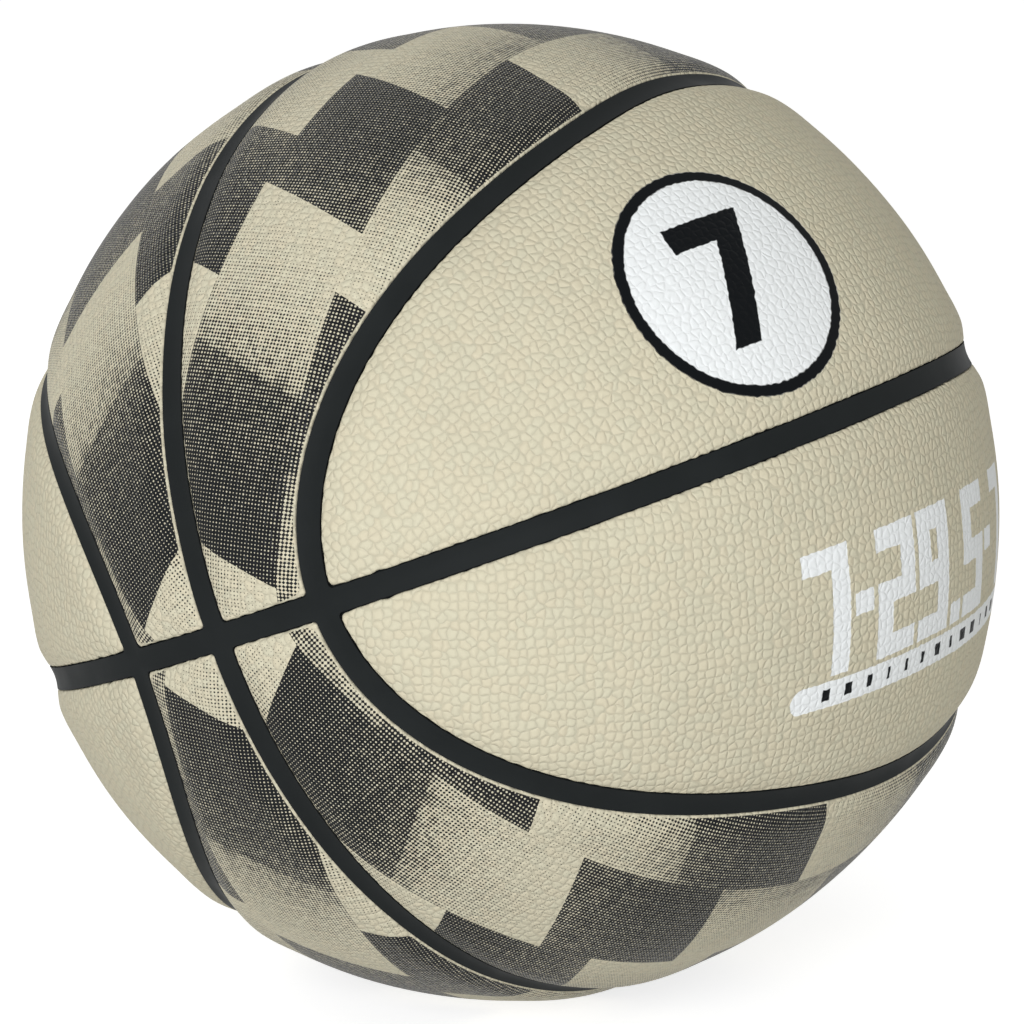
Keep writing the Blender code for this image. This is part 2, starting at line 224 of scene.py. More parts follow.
REST_HEIGHT = math.sqrt(BALL_RADIUS**2 - REST_FLAT_RADIUS**2)
PANEL_EDGE = CHANNEL_WIDTH / 2
SIDES = ((1, 1), (1, -1), (-1, 1), (-1, -1))
SIDE_NAMES = {1: "right", -1: "left"}
LEVEL_NAMES = {1: "lower", -1: "upper"}


def unit(vectors):
    """Vectors made one long."""
    return vectors / np.linalg.norm(vectors, axis=-1, keepdims=True)


def loop_angle(azimuth):
    """Angle from the end of x to its loop."""
    waist = LOOP_WAIST * np.cos(2 * azimuth)
    return LOOP_ANGLE + waist + LOOP_SQUARENESS * np.cos(4 * azimuth)


def from_pole(angle, azimuth):
    """Directions at an angle from x, turned by an azimuth from y to z."""
    ring = np.sin(angle)
    return np.stack((np.cos(angle), ring * np.cos(azimuth), ring * np.sin(azimuth)), -1)


def beside_loop(azimuth, inwards):
    """Directions at a distance beside the loop, towards x where it is positive."""
    step = 1e-4
    here = from_pole(loop_angle(azimuth), azimuth)
    ahead = from_pole(loop_angle(azimuth + step), azimuth + step)
    behind = from_pole(loop_angle(azimuth - step), azimuth - step)
    across = np.cross(here, unit(ahead - behind))
    reach = np.asarray(inwards)[..., None] / BALL_RADIUS
    return here * np.cos(reach) + across * np.sin(reach)


def beside_level_ring(longitude, inset):
    """Directions at a distance above the ring in the plane z = 0."""
    reach = inset / BALL_RADIUS + 0 * longitude
    flat = np.cos(reach)
    return np.stack((flat * np.cos(longitude), flat * np.sin(longitude), np.sin(reach)), -1)


def beside_upright_ring(angle, inset):
    """Directions at a distance beside the ring in the plane x = 0."""
    reach = inset / BALL_RADIUS + 0 * angle
    flat = np.cos(reach)
    return np.stack((np.sin(reach), flat * np.cos(angle), flat * np.sin(angle)), -1)


def loop_corner(inwards):
    """Azimuth at which the line beside the loop meets the line beside the level ring."""
    height = math.sin(abs(inwards) / BALL_RADIUS)
    low, high = 0.0, math.radians(60)
    for _ in range(50):
        middle = (low + high) / 2
        if beside_loop(np.array(middle), inwards)[2] < height:
            low = middle
        else:
            high = middle
    return (low + high) / 2


def longitude_of(direction):
    """Angle round the level ring at which a direction stands."""
    return math.atan2(direction[1], direction[0])


def plain_sides(ends, step):
    """Places along each seam of the plain panel, up to where the lines at an inset meet."""
    corner = loop_corner(ends)
    longitude = longitude_of(beside_loop(np.array(corner), ends))
    azimuths = np.linspace(corner, math.pi - corner, round(0.35 / step))
    longitudes = np.linspace(-longitude, longitude, round(0.31 / step))
    return [(azimuths, beside_loop), (longitudes, beside_level_ring)]


def printed_sides(ends, step):
    """Places along each seam of the printed panel, up to where the lines at an inset meet."""
    corner = loop_corner(-ends)
    longitude = longitude_of(beside_loop(np.array(corner), -ends))
    ring_corner = math.asin(math.tan(ends / BALL_RADIUS))
    far = longitude_of(beside_upright_ring(np.array(ring_corner), ends))
    azimuths = np.linspace(math.pi - corner, corner, round(0.35 / step))
    angles = np.linspace(ring_corner, math.pi - ring_corner, round(0.37 / step))
    short = round(0.03 / step)
    return [
        (azimuths, lambda azimuth, reach: beside_loop(azimuth, -reach)),
        (np.linspace(longitude, far, short), beside_level_ring),
        (angles, beside_upright_ring),
        (np.linspace(-far, -longitude, short), beside_level_ring),
    ]


PANEL_SIDES = {"plain": plain_sides, "printed": printed_sides}


def ragged(directions, height, length):
    """Small even unevenness over the ball, the same at each run."""
    rng = np.random.default_rng(7)
    waves = unit(rng.normal(size=(9, 3))) * 2 * math.pi * BALL_RADIUS / length
    starts = rng.uniform(0, 2 * math.pi, 9)
    return height * np.sin(directions @ waves.T + starts).sum(axis=1) / 3


def corner_arc(before, after, centre):
    """Points between two side ends, round the centre of the panel's corner."""
    reach = math.acos(min(before @ centre, 1))
    if reach < 1e-7:
        return np.repeat(centre[None], CORNER_STEPS - 1, axis=0)
    first = unit(before - centre * (before @ centre))
    second = unit(after - centre * (after @ centre))
    swing = math.acos(np.clip(first @ second, -1, 1))
    shares = np.linspace(0, 1, CORNER_STEPS + 1)[1:-1, None]
    ways = np.sin((1 - shares) * swing) * first + np.sin(shares * swing) * second
    return centre * math.cos(reach) + ways / math.sin(swing) * math.sin(reach)


def outline(kind, inset, step, wobble=0.0):
    """Closed outline of a panel at an inset from the seams' middle lines, left-handed round it."""
    ends = inset * (1 + CORNER_RADIUS / PANEL_EDGE)
    runs = []
    centres = []
    for places, beside in PANEL_SIDES[kind](ends, step):
        points = beside(places, inset + 0 * places)
        runs.append(beside(places, inset + ragged(points, wobble, 0.0024)))
        centres.append(beside(places[:1], ends + 0 * places[:1])[0])
    parts = []
    for i, points in enumerate(runs):
        parts.append(points)
        after = (i + 1) % len(runs)
        parts.append(corner_arc(points[-1], runs[after][0], centres[after]))
    return np.concatenate(parts)


def seam_distance(directions):
    """Distance to the seams, blended where two run near each other."""
    x, y, z = np.abs(directions[:, 0]), directions[:, 1], np.abs(directions[:, 2])
    azimuth = np.arctan2(z, y)
    step = 1e-4
    slope = (loop_angle(azimuth + step) - loop_angle(azimuth - step)) / (2 * step)
    angle = np.arccos(np.clip(x, 0, 1))
    lean = np.cos(np.arctan(slope / np.sin(loop_angle(azimuth))))
    to_loop = np.abs(loop_angle(azimuth) - angle) * lean
    reaches = np.stack((to_loop, np.arcsin(x), np.arcsin(z))) * BALL_RADIUS
    blended = -VALLEY_BLEND * np.log(np.exp(-reaches / VALLEY_BLEND).sum(axis=0))
    return np.maximum(blended, 0)


def valley(distance):
    """Depth of the smooth valley that every channel lies in, and its raised shoulders."""
    share = np.minimum(distance / VALLEY_REACH, 1)
    shoulder = SHOULDER_RISE * np.exp(-(((distance - SHOULDER_AT) / SHOULDER_SPREAD) ** 2))
    return CHANNEL_DEPTH * (0.5 + 0.5 * np.cos(math.pi * share)) - shoulder


def swelling(directions):
    """Rise of the slack skin over the round ball."""
    rise = ragged(directions, WAVE_HEIGHT, WAVE_LENGTH)
    for azimuth, elevation, height, reach in SWELLINGS:
        flat = math.cos(elevation)
        top = (flat * math.cos(azimuth), flat * math.sin(azimuth), math.sin(elevation))
        away = np.arccos(np.clip(directions @ np.array(top), -1, 1))
        rise += height * (0.5 + 0.5 * np.cos(math.pi * np.minimum(away / reach, 1)))
    return rise


def laid(directions, side, level):
    """Directions of the first panel pair, mirrored to their panel and turned as the ball lies."""
    return (directions * np.array((side, 1, level))) @ TURN.T


def settled(directions, depth):
    """Places of the slack ball's points, from their directions and depths in the round ball."""
    places = directions * (BALL_RADIUS - depth + swelling(directions))[:, None]
    places[:, 2] = np.maximum(places[:, 2], np.maximum(depth, 0) - REST_HEIGHT)
    places[:, 2] += REST_HEIGHT
    return places


def spread(kind, step, clear):
    """Evenly spread directions of a panel, clear of its seams."""
    rings = round(math.pi * BALL_RADIUS / (step * 0.9))
    found = []
    for i in range(1, rings // 2 + 1):
        angle = math.pi * i / rings
        count = max(6, round(2 * math.pi * math.sin(angle) * BALL_RADIUS / step))
        azimuths = 2 * math.pi * (np.arange(count) + 0.5 * (i % 2)) / count
        azimuths = azimuths[azimuths < math.pi]
        within = loop_angle(azimuths) > angle
        azimuths = azimuths[within if kind == "plain" else ~within]
        found.append(from_pole(np.full(len(azimuths), angle), azimuths))
    directions = np.concatenate(found)
    return directions[seam_distance(directions) > clear]


def flat_view(directions, angle):
    """Flat view of directions, about the one at an angle from x."""
    middle = np.array((math.cos(angle), 0, math.sin(angle)))
    up = np.array((-math.sin(angle), 0, math.cos(angle)))
    scale = 2 / (1 + directions @ middle)
    return np.stack((directions[:, 1] * scale, directions @ up * scale), -1)


def filled(rim, inner, kind):
    """Triangles over the inside of a rim, on the rim's points and the inner ones."""
    angle = math.radians(28 if kind == "plain" else 63)
    view = [Vector(point) for point in flat_view(np.concatenate((rim, inner)), angle)]
    count = len(rim)
    edges = [(i, (i + 1) % count) for i in range(count)]
    found = delaunay_2d_cdt(view, edges, [list(range(count))], 1, 1e-9)
    return [[found[3][corner][0] for corner in face] for face in found[2]]


def strips(rows, count):
    """Quads between closed rows of points that follow each other."""
    faces = []
    for row in range(rows - 1):
        first = row * count
        for i in range(count):
            after = (i + 1) % count
            corners = (first + i, first + after, first + count + after, first + count + i)
            faces.append(corners)
    return faces


def make_mesh(name, places, faces, flip=False):
    """A smooth object from places and faces."""
    data = bpy.data.meshes.new(name)
    data.from_pydata(places.tolist(), [], [face[::-1] for face in faces] if flip else faces)
    data.shade_smooth()
    item = bpy.data.objects.new(name, data)
    bpy.context.scene.collection.objects.link(item)
    return item


def bored(item, cutter):
    """Takes a cutter's shape out of a piece."""
    bore = item.modifiers.new("bore", "BOOLEAN")
    bore.operation = "DIFFERENCE"
    bore.solver = "EXACT"
    bore.object = cutter
    graph = bpy.context.evaluated_depsgraph_get()
    left = bpy.data.meshes.new_from_object(item.evaluated_get(graph))
    item.modifiers.clear()
    item.data = left
    left.set_sharp_from_angle(angle=math.radians(40))


def turned(name, profile, centre, axis):
    """A closed profile of radii and heights, turned about an axis."""
    turns = np.linspace(0, 2 * math.pi, TURNED_STEPS, endpoint=False)
    radii, heights = np.array(profile, float).T
    ring = np.stack((np.cos(turns), np.sin(turns), 0 * turns), -1)
    local = radii[:, None, None] * ring[None] + heights[:, None, None] * np.array((0, 0, 1))
    turn = np.array(axis.to_track_quat("Z", "Y").to_matrix())
    places = local.reshape(-1, 3) @ turn.T + np.array(centre)
    faces = strips(len(profile), TURNED_STEPS)
    last = (len(profile) - 1) * TURNED_STEPS
    for i in range(TURNED_STEPS):
        after = (i + 1) % TURNED_STEPS
        faces.append((last + i, last + after, after, i))
    item = make_mesh(name, places, faces)
    item.data.set_sharp_from_angle(angle=math.radians(40))
    return item


def valve_bore():
    """The round way for the valve through the layers."""
    mesh = bmesh.new()
    radius = VALVE_NECK_RADIUS + VALVE_FIT
    bmesh.ops.create_cone(
        mesh, cap_ends=True, segments=TURNED_STEPS, radius1=radius, radius2=radius, depth=0.03
    )
    data = bpy.data.meshes.new("valve_bore")
    mesh.to_mesh(data)
    mesh.free()
    item = bpy.data.objects.new("valve_bore", data)
    item.location = VALVE_MIDDLE
    item.rotation_euler = VALVE_AXIS.to_track_quat("Z", "Y").to_euler()
    bpy.context.scene.collection.objects.link(item)
    return item


def carcass():
    """Ribs and pockets over the eight sectors, and the plain inside."""
    insets = np.linspace(0, PANEL_EDGE - JOINT_GAP, 5)
    mesh = bmesh.new()
    for kind in PANEL_SIDES:
        rows = [outline(kind, inset, RIB_STEP) for inset in insets]
        count = len(rows[0])
        top = np.concatenate(rows)
        floor = spread(kind, FLOOR_STEP, PANEL_EDGE + FLOOR_CLEARANCE)
        directions = np.concatenate((top, rows[-1], floor))
        depth = np.full(len(directions), POCKET_DEPTH)
        depth[: len(top)] = valley(seam_distance(top))
        last = len(rows) * count
        faces = strips(len(rows) + 1, count)
        faces += [[last + i for i in face] for face in filled(rows[-1], floor, kind)]
        for side, level in SIDES:
            places = settled(laid(directions, side, level), depth)
            verts = [mesh.verts.new(place) for place in places]
            for face in faces:
                mesh.faces.new([verts[i] for i in face])
    bmesh.ops.remove_doubles(mesh, verts=mesh.verts, dist=2e-6)
    bmesh.ops.recalc_face_normals(mesh, faces=mesh.faces)
    hollow = bmesh.new()
    bmesh.ops.create_icosphere(hollow, subdivisions=5, radius=1)
    inner = np.array([vert.co[:] for vert in hollow.verts])
    places = settled(unit(inner), np.full(len(inner), CARCASS_INSIDE))
    verts = [mesh.verts.new(place) for place in places]
    for face in hollow.faces:
        mesh.faces.new([verts[vert.index] for vert in reversed(face.verts)])
    hollow.free()
    data = bpy.data.meshes.new("channel_carcass")
    mesh.to_mesh(data)
    mesh.free()
    data.shade_smooth()
    data.set_sharp_from_angle(angle=math.radians(35))
    item = bpy.data.objects.new("channel_carcass", data)
    bpy.context.scene.collection.objects.link(item)
    return item


VALVE_DIRECTION = np.array((-math.cos(VALVE_ANGLE), 0, math.sin(VALVE_ANGLE)))
VALVE_AXIS = Vector(TURN @ VALVE_DIRECTION)
valve_rise = float(swelling(np.array(VALVE_AXIS)[None])[0])
VALVE_MIDDLE = VALVE_AXIS * (BALL_RADIUS + valve_rise) + Vector((0, 0, REST_HEIGHT))
valve_way = valve_bore()
black_rubber = rubber_material("channel_rubber", (0.0135, 0.0155, 0.0158), 0.55)
channel_carcass = carcass()
bored(channel_carcass, valve_way)
channel_carcass.data.materials.append(black_rubber)
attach(channel_carcass, "root")
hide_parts("carcass")


# The cover: eight panels of pebbled composite leather, glued down between the ribs. Each
# dips into the valley of its channels, has a rounded, slightly ragged edge and stands up a
# little behind it.
COVER_MIDDLE = {"plain": math.radians(22), "printed": math.radians(68)}
PANEL_THICKNESS = 0.0022
PANEL_STEP = 0.0008
PANEL_SPACING = 0.0011
PANEL_ROWS = (0.0, 0.00007, 0.0002, 0.00045, 0.00085, 0.00135)
EDGE_ROUNDING = 0.00035
EDGE_REACH = 0.0005
EDGE_WOBBLE = 0.00011
PEBBLE = 2.12
CREASE = 0.40
PEBBLE_HEIGHT = 0.00022
PEBBLE_TILT = 0.08
COLLAR_RADIUS = 7.2
CREASE_SHADE = 0.17


def covered(kind):
    """Directions, depths and faces of one panel, closed all round."""
    rows = [outline(kind, PANEL_EDGE, PANEL_STEP, EDGE_WOBBLE)] * 2
    depths = [np.full(len(rows[0]), PANEL_THICKNESS), np.full(len(rows[0]), CHANNEL_DEPTH + 0.0005)]
    for reach in PANEL_ROWS:
        wobble = EDGE_WOBBLE * (1 - reach / PANEL_ROWS[-1])
        rows.append(outline(kind, PANEL_EDGE + reach, PANEL_STEP, wobble))
        rounding = EDGE_ROUNDING * max(0, 1 - reach / EDGE_REACH) ** 2
        depths.append(valley(seam_distance(rows[-1])) + rounding)
    count = len(rows[0])
    top = spread(kind, PANEL_SPACING, PANEL_EDGE + PANEL_ROWS[-1] + 0.0004)
    under = spread(kind, FLOOR_STEP, PANEL_EDGE + FLOOR_CLEARANCE)
    faces = strips(len(rows), count)
    last = (len(rows) - 1) * count
    faces += [[last + i for i in face] for face in filled(rows[-1], top, kind)]
    below = len(rows) * count + len(top) - count
    for face in filled(rows[0], under, kind):
        faces.append([i if i < count else below + i for i in reversed(face)])
    depths += [valley(seam_distance(top)), np.full(len(under), PANEL_THICKNESS)]
    return np.concatenate((*rows, top, under)), np.concatenate(depths), faces


def add_chart(item, name, values):
    """A map of two numbers over a piece, given point by point."""
    chart = item.data.uv_layers.new(name=name)
    corners = np.empty(len(item.data.loops), np.int32)
    item.data.loops.foreach_get("vertex_index", corners)
    chart.uv.foreach_set("vector", values[corners].astype(np.float32).ravel())


def cut_panel(kind, side, level, net):
    """One panel in its place, with its distance to the seams, in millimetres, as a map."""
    directions, depths, faces = net
    places = settled(laid(directions, side, level), depths)
    name = f"{kind}_panel_{SIDE_NAMES[side]}_{LEVEL_NAMES[level]}"
    item = make_mesh(name + "_cover", places, faces, side * level < 0)
    rim = seam_distance(directions)
    seen = directions * np.array((side, 1, level))
    from_valve = np.arccos(np.clip(seen @ VALVE_DIRECTION, -1, 1))
    add_chart(item, "rim", np.stack((rim, from_valve * BALL_RADIUS), -1) * 1000)
    add_chart(item, "cover", cover_chart(directions, COVER_MIDDLE[kind]))
    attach(item, "root")
    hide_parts(name)
    return item


def cover_chart(directions, middle):
    """Millimetres along a panel and across it, about its middle line at an angle from x."""
    across = np.array((-math.sin(middle), 0, math.cos(middle)))
    ahead = np.array((math.cos(middle), 0, math.sin(middle)))
    along = np.arctan2(directions[:, 1], directions @ ahead)
    return np.stack((along, np.arcsin(directions @ across)), -1) * BALL_RADIUS * 1000


def vector_maths(tree, operation, *terms):
    """One sum of vectors."""
    item = tree.nodes.new("ShaderNodeVectorMath")
    item.operation = operation
    for place, term in enumerate(terms):
        if isinstance(term, bpy.types.NodeSocket):
            tree.links.new(term, item.inputs[place])
        else:
            item.inputs[place].default_value = term
    return item.outputs["Value" if operation == "DOT_PRODUCT" else "Vector"]


def pebbles(tree, chart):
    """Cobbled relief of the cover: its height, the creases, and a shade for each pebble."""
    bend = add(
        tree,
        "ShaderNodeTexNoise",
        noise_dimensions="2D",
        links={"Vector": chart},
        values={"Scale": 0.55, "Detail": 0},
    ).outputs[1]
    centred = vector_maths(tree, "SUBTRACT", bend, (0.5, 0.5, 0.5))
    bent = vector_maths(tree, "MULTIPLY_ADD", centred, (0.9, 0.9, 0), chart)
    settings = {"links": {"Vector": bent}, "values": {"Scale": 1 / PEBBLE, "Randomness": 0.56}}
    cells = add(
        tree,
        "ShaderNodeTexVoronoi",
        voronoi_dimensions="2D",
        feature="DISTANCE_TO_EDGE",
        **settings,
    ).outputs["Distance"]
    pebble = add(tree, "ShaderNodeTexVoronoi", voronoi_dimensions="2D", **settings).outputs
    shade = pebble["Color"]
    off = vector_maths(tree, "SUBTRACT", bent, pebble["Position"])
    slope = vector_maths(tree, "SUBTRACT", shade, (0.5, 0.5, 0.5))
    tilt = maths(tree, "MULTIPLY", vector_maths(tree, "DOT_PRODUCT", off, slope), PEBBLE_TILT)
    corner = maths(tree, "SUBTRACT", 0.66, pebble["Distance"])
    from_edge = add(
        tree,
        "ShaderNodeMath",
        operation="SMOOTH_MIN",
        links={0: cells, 1: corner},
        values={2: 0.16},
    ).outputs[0]
    dome = maths(tree, "MULTIPLY", ramp(tree, from_edge, -0.02, 0.38), 0.60)
    lip = maths(tree, "MULTIPLY", ramp(tree, from_edge, -0.02, CREASE / PEBBLE), 0.40)
    height = maths(tree, "ADD", tilt, maths(tree, "ADD", dome, lip))
    crease = ramp(tree, from_edge, 0, 0.5 * CREASE / PEBBLE, 1, 0)
    return height, crease, shade


def inside(tree, value, low, high, soft):
    """One where a value lies between two others."""
    above = ramp(tree, value, low - soft, low + soft)
    below = ramp(tree, value, high - soft, high + soft, 1, 0)
    return maths(tree, "MULTIPLY", above, below)


def round_valve(tree, height):
    """The relief with a smooth raised ring in it, round the valve."""
    chart = add(tree, "ShaderNodeUVMap", uv_map="rim").outputs[0]
    away = add(tree, "ShaderNodeSeparateXYZ", links={"Vector": chart}).outputs[1]
    kept = maths(tree, "MULTIPLY", height, ramp(tree, away, COLLAR_RADIUS, COLLAR_RADIUS + 0.5))
    collar = inside(tree, away, COLLAR_RADIUS - 1.9, COLLAR_RADIUS - 0.3, 0.3)
    return maths(tree, "MULTIPLY_ADD", collar, 1.4, kept)


def tinted(tree, colour, shade, crease, place):
    """Colour of the bare cover: pebbles a touch off, handled spots darker, painted shade in
    creases.
    """
    parts = add(tree, "ShaderNodeSeparateColor", links={"Color": shade}).outputs
    warm = tuple(part * k for part, k in zip(colour, (1.012, 0.995, 0.97)))
    green = tuple(part * k for part, k in zip(colour, (0.985, 1.0, 0.99)))
    tint = mixed(tree, parts[0], warm, green)
    soil = add(
        tree, "ShaderNodeTexNoise", links={"Vector": place}, values={"Scale": 22, "Detail": 3}
    ).outputs[0]
    dull = maths(tree, "MULTIPLY", ramp(tree, soil, 0.45, 0.8), 0.07)
    # painted shade: the creases are made darker in the colour, where shade would fall in them
    painted_shade_in_creases = maths(tree, "MULTIPLY", crease, CREASE_SHADE)
    spotted = maths(tree, "MULTIPLY", parts[1], 0.03)
    dark = maths(tree, "ADD", maths(tree, "ADD", dull, painted_shade_in_creases), spotted)
    return mixed(tree, dark, tint, tuple(0.25 * part for part in colour))


def finish_cover(tree, shader, chart, height, paint, gloss):
    """Roughness and relief of the cover, smoother where it is painted."""
    grain = add(
        tree,
        "ShaderNodeTexNoise",
        noise_dimensions="2D",
        links={"Vector": chart},
        values={"Scale": 2.6, "Detail": 1},
    ).outputs[0]
    rough = ramp(tree, grain, 0.3, 0.7, 0.49, 0.59)
    smoother = maths(tree, "MULTIPLY", paint, 0.12)
    tree.links.new(maths(tree, "SUBTRACT", rough, smoother), shader.inputs["Roughness"])
    relief = add(
        tree,
        "ShaderNodeBump",
        links={"Height": height},
        values={"Strength": 1.0, "Distance": PEBBLE_HEIGHT},
    )
    fine = add(
        tree,
        "ShaderNodeBump",
        links={"Height": grain, "Normal": relief.outputs[0]},
        values={"Strength": 0.35, "Distance": 0.00002},
    )
    tree.links.new(fine.outputs[0], shader.inputs["Normal"])
    shader.inputs["Specular IOR Level"].default_value = gloss


# The plain panels: sand-coloured, two at each end of x. Those of one end carry a white
# roundel with the ball's size number, and a label of tall figures over a white capsule.
SAND = (0.607, 0.563, 0.428)
WHITE_PAINT = (0.80, 0.82, 0.82)
BLACK_PAINT = (0.0055, 0.0065, 0.0075)
ROUNDEL_AT = (0.901, 0.298, -0.314)
ROUNDEL_RADIUS = 29.0
ROUNDEL_LINE = 2.6
LINE_DEPTH = 0.00035
PAINT_FILLING = 0.35
FIGURES_FOOT = 58.5
FIGURES_START = -48.5
FIGURE_HEIGHT = 31.0
FIGURE_WIDTH = 13.8
FIGURE_STROKE = 5.4
FIGURE_GAP = 1.5
FIGURE_CUTS = {
    "2": ((0, 2, "upper"), (1, 3, "lower")),
    "5": ((1, 3, "upper"), (0, 2, "lower")),
    "7": ((0, 2, "stem"),),
    "9": ((1, 2, "upper"), (0, 2, "lower")),
    "-": ((0, 3, "upper"), (0, 3, "lower"), (0, 3, "feet"), (0, 3, "heads")),
    ".": ((0, 3, "above"),),
}
FIGURE_WIDTHS = {"-": 6.0, ".": 5.4}
CAPSULE_AT = 63.0
CAPSULE_HALF_LENGTH = 51.0
CAPSULE_HALF_HEIGHT = 3.3
TICK_PITCH = 6.8
PLAIN_GLOSS = 0.035
ROUNDEL_SOFTNESS = 0.15
LABEL_SOFTNESS = 0.12


def roundel_chart(directions):
    """Millimetres right and up from the roundel's middle."""
    centre = unit(np.array(ROUNDEL_AT))
    right = unit(np.cross((0, 0, 1), centre)) * -1
    up = np.cross(centre, right)
    away = np.arccos(np.clip(directions @ centre, -1, 1))
    flat = np.stack((directions @ right, directions @ up), -1)
    return flat * (away / np.maximum(np.sin(away), 1e-9))[:, None] * BALL_RADIUS * 1000


def label_chart(directions):
    """Millimetres right from the label's middle and down from the level ring."""
    x, y, z = directions.T
    down = (np.arcsin(z) + np.arctan2(z, x)) / 2
    return np.stack((-np.arcsin(y), down), -1) * BALL_RADIUS * 1000


def roundel(tree, chart):
    """White disc, the sunk black line round it, and the black number on it."""
    across, up, _ = add(tree, "ShaderNodeSeparateXYZ", links={"Vector": chart}).outputs
    away = add(
        tree, "ShaderNodeVectorMath", operation="LENGTH", links={0: chart}
    ).outputs["Value"]
    soft = ROUNDEL_SOFTNESS
    disc = ramp(tree, away, ROUNDEL_RADIUS - soft, ROUNDEL_RADIUS + soft, 1, 0)
    line = inside(tree, away, ROUNDEL_RADIUS - ROUNDEL_LINE, ROUNDEL_RADIUS, soft)
    lean = maths(tree, "SUBTRACT", across, maths(tree, "MULTIPLY_ADD", up, 0.42, 1.0))
    before_stem = ramp(tree, lean, 3.65, 3.95, 1, 0)
    bar = maths(tree, "MULTIPLY", inside(tree, across, -11.0, 30, soft), before_stem)
    bar = maths(tree, "MULTIPLY", bar, inside(tree, up, 9.4, 16.0, soft))
    stem = maths(
        tree, "MULTIPLY", inside(tree, lean, -3.8, 3.8, soft), inside(tree, up, -16.0, 16.0, soft)
    )
    return disc, line, maths(tree, "MAXIMUM", bar, stem)


def figures(tree, across, down):
    """A row of tall block figures."""
    soft = LABEL_SOFTNESS
    top = FIGURES_FOOT - FIGURE_HEIGHT
    hole = (FIGURE_HEIGHT - 3 * FIGURE_STROKE) / 2
    upper = top + FIGURE_STROKE
    lower = upper + hole + FIGURE_STROKE
    bands = {
        "upper": inside(tree, down, upper, upper + hole, soft),
        "lower": inside(tree, down, lower, lower + hole, soft),
        "stem": inside(tree, down, upper, FIGURES_FOOT + 1, soft),
        "heads": inside(tree, down, top - 1, upper + 0.2, soft),
        "feet": inside(tree, down, lower + hole - 0.2, FIGURES_FOOT + 1, soft),
        "above": inside(tree, down, top - 1, FIGURES_FOOT - FIGURE_STROKE, soft),
    }
    shape = 0.0
    left = FIGURES_START
    for sign in "7-29.5-7":
        width = FIGURE_WIDTHS.get(sign, FIGURE_WIDTH)
        edges = (left - 1, left + FIGURE_STROKE, left + width - FIGURE_STROKE, left + width + 1)
        figure = inside(tree, across, left, left + width, soft)
        for start, end, band in FIGURE_CUTS[sign]:
            cut = inside(tree, across, edges[start], edges[end], soft)
            kept = maths(tree, "SUBTRACT", 1, maths(tree, "MULTIPLY", cut, bands[band]))
            figure = maths(tree, "MULTIPLY", figure, kept)
        shape = maths(tree, "ADD", shape, figure)
        left += width + FIGURE_GAP
    return maths(tree, "MULTIPLY", shape, inside(tree, down, top, FIGURES_FOOT, soft), clamp=True)


def capsule(tree, across, down):
    """A long rounded field with small black ticks of two widths."""
    level = maths(tree, "SUBTRACT", down, CAPSULE_AT)
    soft = LABEL_SOFTNESS
    straight = CAPSULE_HALF_LENGTH - CAPSULE_HALF_HEIGHT
    from_middle = maths(tree, "ABSOLUTE", across)
    beyond = maths(tree, "MAXIMUM", maths(tree, "SUBTRACT", from_middle, straight), 0)
    squares = [maths(tree, "MULTIPLY", part, part) for part in (beyond, level)]
    away = maths(tree, "SQRT", maths(tree, "ADD", *squares))
    field = ramp(tree, away, CAPSULE_HALF_HEIGHT - soft, CAPSULE_HALF_HEIGHT + soft, 1, 0)
    count = maths(tree, "DIVIDE", across, TICK_PITCH)
    step = maths(tree, "ROUND", count)
    near = maths(tree, "MULTIPLY", maths(tree, "SUBTRACT", count, step), TICK_PITCH)
    random = add(
        tree, "ShaderNodeTexWhiteNoise", noise_dimensions="1D", links={"W": step}
    ).outputs["Value"]
    half = maths(tree, "MULTIPLY_ADD", random, 1.3, 0.45)
    past_tick = maths(tree, "SUBTRACT", maths(tree, "ABSOLUTE", near), half)
    tick = ramp(tree, past_tick, -soft, soft, 1, 0)
    tall = ramp(tree, maths(tree, "ABSOLUTE", level), 1.35, 1.6, 1, 0)
    room = ramp(tree, from_middle, straight - 3.2, straight - 3.0, 1, 0)
    ticks = maths(tree, "MULTIPLY", maths(tree, "MULTIPLY", tick, tall), room)
    return field, ticks


def unsteadiness(tree, chart):
    """The small shifts that the pebbles give to a painted edge."""
    bend = add(
        tree,
        "ShaderNodeTexNoise",
        noise_dimensions="2D",
        links={"Vector": chart},
        values={"Scale": 0.7, "Detail": 0},
    ).outputs[1]
    return vector_maths(tree, "SUBTRACT", bend, (0.5, 0.5, 0.5))


def unsteady(tree, name, shifts):
    """One of the panel's charts, a little shifted from place to place."""
    chart = add(tree, "ShaderNodeUVMap", uv_map=name).outputs[0]
    return vector_maths(tree, "MULTIPLY_ADD", shifts, (0.5, 0.5, 0), chart)


def roundel_marks(tree, shifts):
    """White and black paint of the roundel, and its sunk line."""
    disc, line, number = roundel(tree, unsteady(tree, "roundel", shifts))
    return disc, maths(tree, "MAXIMUM", line, number), line


def label_marks(tree, shifts):
    """White and black paint of the label, with nothing sunk."""
    across, down, _ = add(
        tree, "ShaderNodeSeparateXYZ", links={"Vector": unsteady(tree, "label", shifts)}
    ).outputs
    field, ticks = capsule(tree, across, down)
    return maths(tree, "MAXIMUM", field, figures(tree, across, down)), ticks, None


